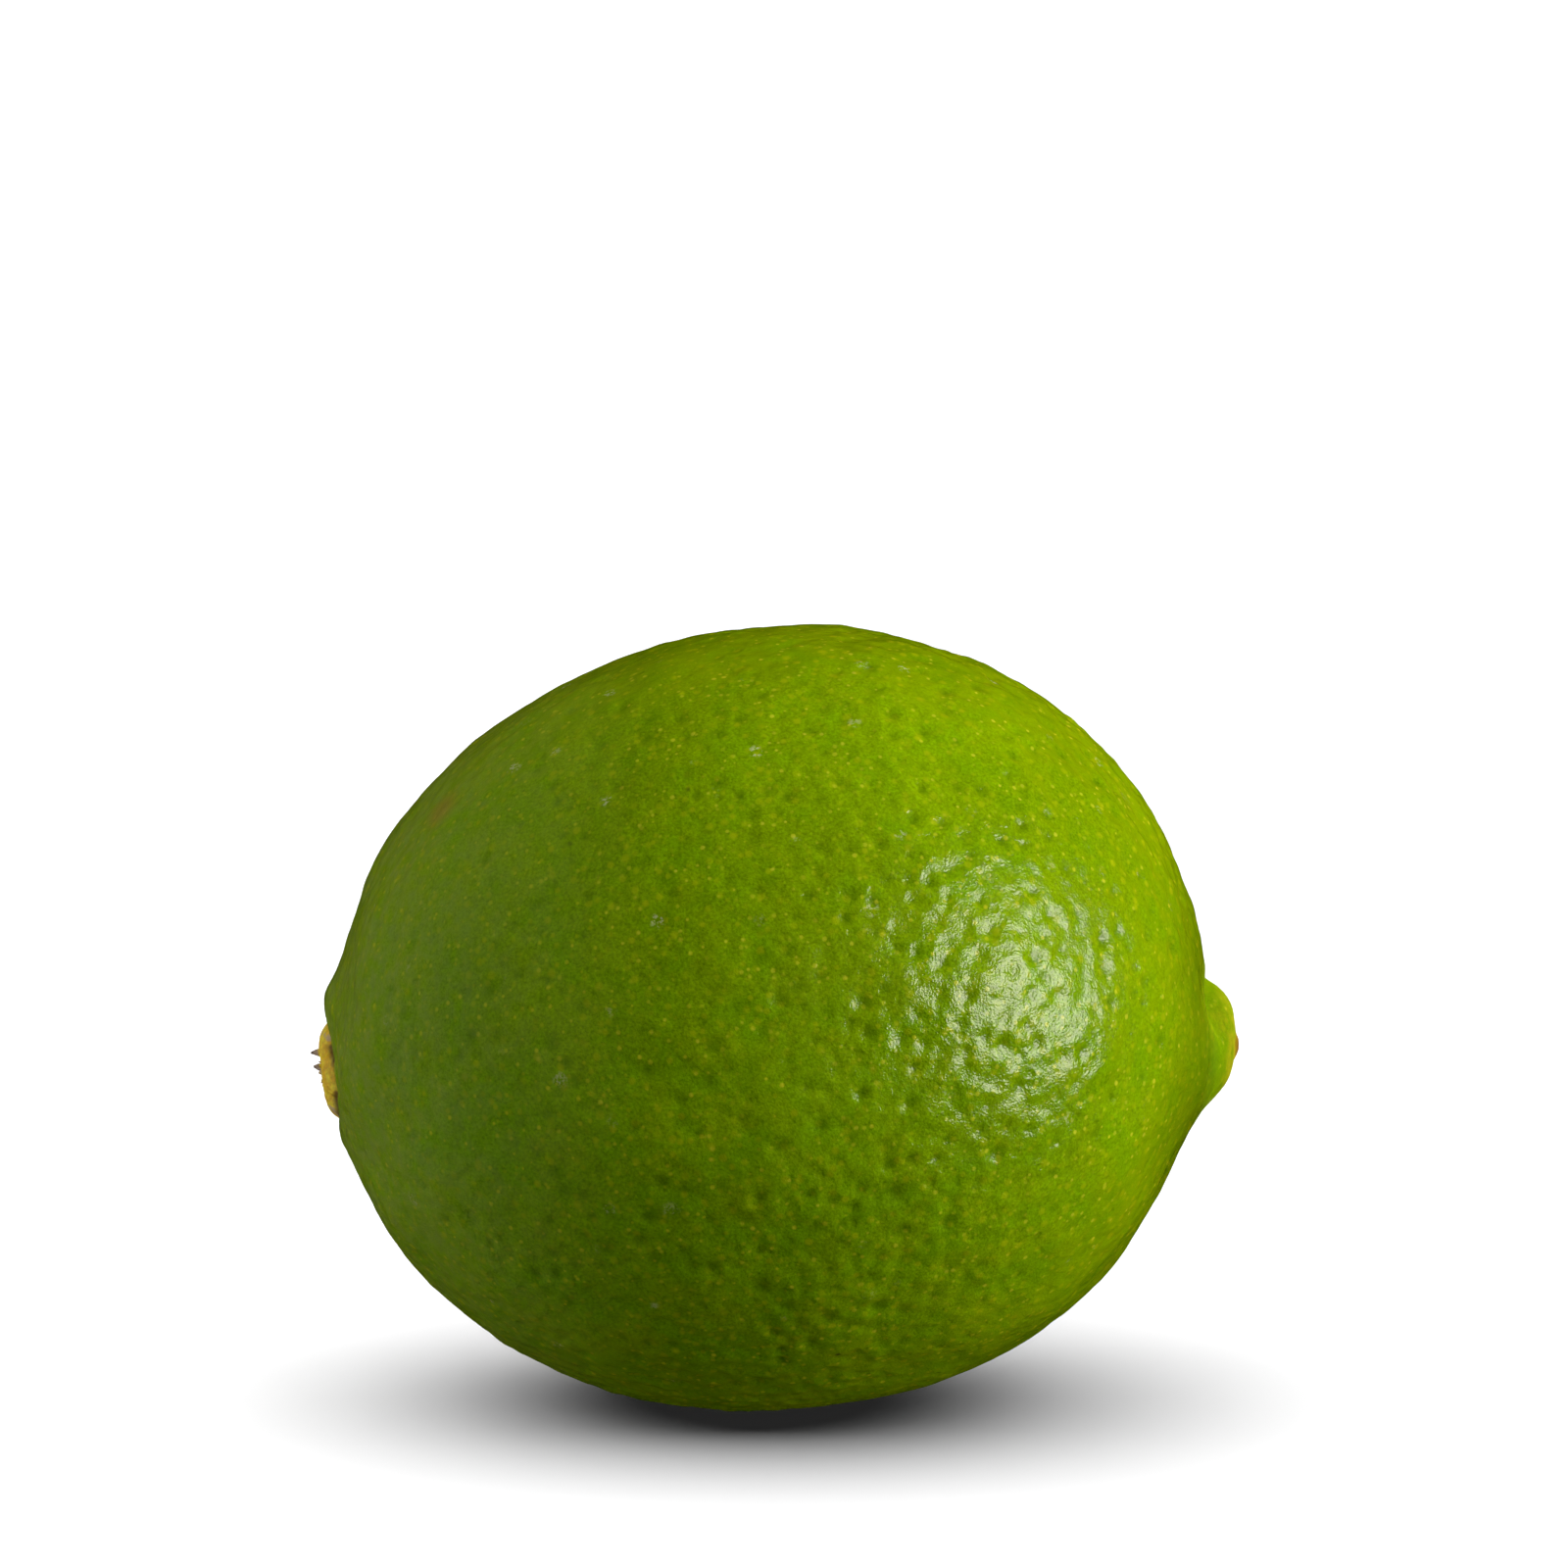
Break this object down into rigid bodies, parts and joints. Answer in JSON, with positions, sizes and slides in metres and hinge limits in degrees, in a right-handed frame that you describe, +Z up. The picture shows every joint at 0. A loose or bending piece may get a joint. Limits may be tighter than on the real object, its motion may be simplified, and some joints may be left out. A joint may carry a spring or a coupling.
{
  "type": "lime",
  "caption": "Whole green lime lying on its side, egg-shaped, with a blunt nipple at its blossom end and a dry calyx button at its stem end.",
  "frame": {"origin": "middle of the length and width, on the surface that the fruit lies on", "axes": "+X along the length from the stem end to the nipple, +Z up, +Y away from the side seen in front"},
  "size_m": [0.063, 0.0528, 0.0528],
  "materials": {
    "rind": "waxy green citrus rind, semi-gloss",
    "dry_calyx": "dry fibrous calyx, ochre to brown, matte"
  },
  "bodies": {
    "root": {"lime_fruit": "rind", "stem_button": "dry_calyx"}
  },
  "joints": []
}
